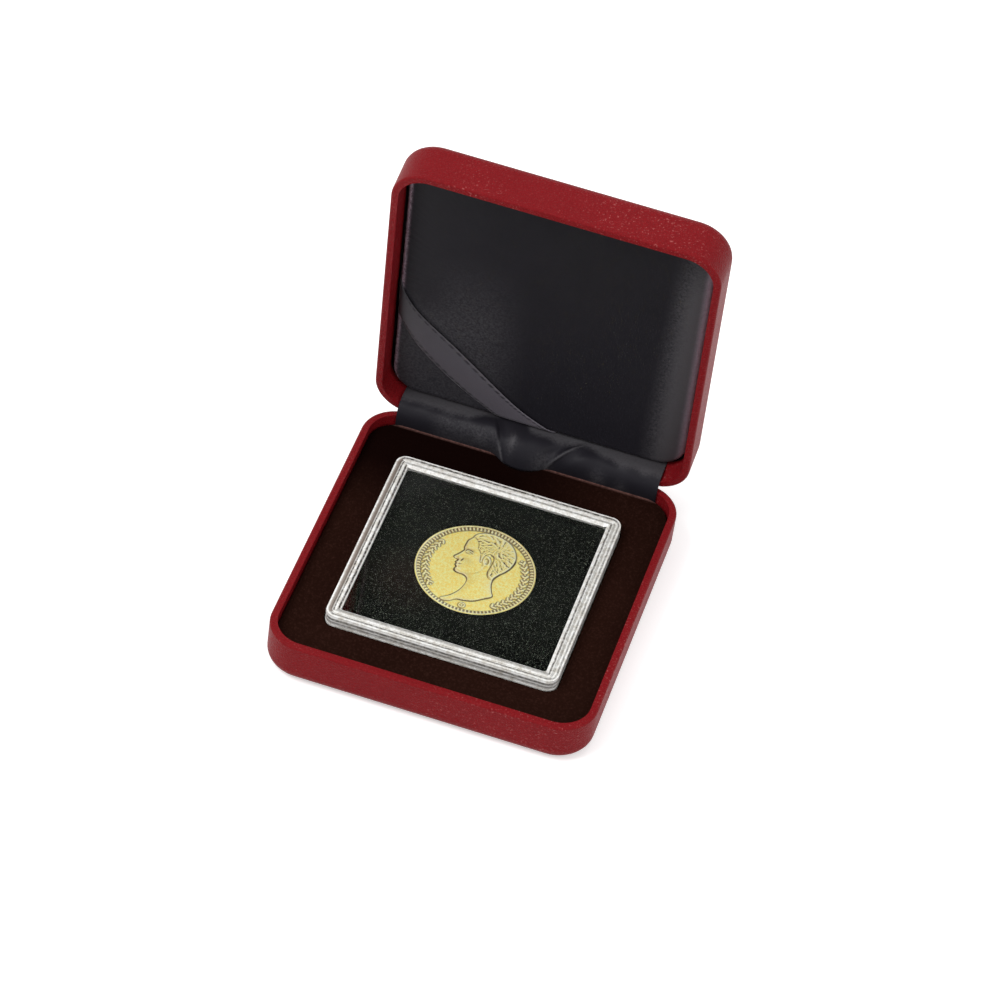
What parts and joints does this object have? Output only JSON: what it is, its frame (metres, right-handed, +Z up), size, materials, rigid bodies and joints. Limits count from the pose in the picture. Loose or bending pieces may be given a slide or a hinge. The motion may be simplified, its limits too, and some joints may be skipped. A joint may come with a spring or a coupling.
{
  "type": "coin display case",
  "caption": "Hinged presentation case in leatherette, with a flocked tray, a clear square capsule that holds a coin in foam, and a padded satin lid with a ribbon.",
  "frame": {"origin": "centre of the base's outline, on the face that the case stands on", "axes": "+X to the right along the front edge, +Y back to the hinge, +Z up; the lid is open at its stop"},
  "size_m": [0.07, 0.0838, 0.0846],
  "materials": {
    "leatherette": "fine-grained leatherette, satin",
    "underside_sheet": "plain leatherette sheet, matte",
    "moulded_shell": "moulded, matte",
    "support_foam": "foam block, matte",
    "velvet": "flocked velvet, short pile",
    "clear_capsule": "clear polished acrylic",
    "inlay_foam": "closed-cell foam, fine cells",
    "gold": "struck gold, satin relief and polished rim",
    "hinge_steel": "plated steel",
    "rivet_steel": "plated steel",
    "spring_steel": "blued spring steel",
    "satin": "charcoal satin, soft sheen",
    "card": "plain card",
    "wadding": "soft wadding",
    "ribbon_satin": "woven satin ribbon, soft sheen"
  },
  "bodies": {
    "base": {"base_shell": "moulded_shell", "base_cover": "leatherette", "bottom_sheet": "underside_sheet", "tray_support": "support_foam", "flocked_tray": "velvet", "hinge_leaf_base": "hinge_steel", "hinge_pin": "hinge_steel", "base_rivets": "rivet_steel", "snap_springs": "spring_steel", "hinge_flap": "satin"},
    "lid": {"lid_shell": "moulded_shell", "lid_cover": "leatherette", "hinge_leaf_lid": "hinge_steel", "lid_rivets": "rivet_steel", "lid_board": "card", "lid_wadding": "wadding", "lid_satin": "satin", "ribbon": "ribbon_satin"},
    "capsule": {"capsule_base": "clear_capsule", "foam_inlay": "inlay_foam", "coin": "gold"},
    "capsule_lid": {"capsule_top": "clear_capsule"}
  },
  "joints": [
    {"name": "lid_hinge", "type": "hinge", "parent": "base", "child": "lid", "pos_m": [0, 0.03665, 0.01055], "axis": [1, 0, 0], "range_deg": [0, 84], "deforming": ["hinge_flap", "snap_springs"]},
    {"name": "capsule_lift", "type": "slide", "parent": "base", "child": "capsule", "axis": [0, 0, 1], "range_m": [0, 0.0024]},
    {"name": "capsule_top_lift", "type": "slide", "parent": "capsule", "child": "capsule_lid", "axis": [0, 0, 1], "range_m": [0, 0.0009]}
  ]
}
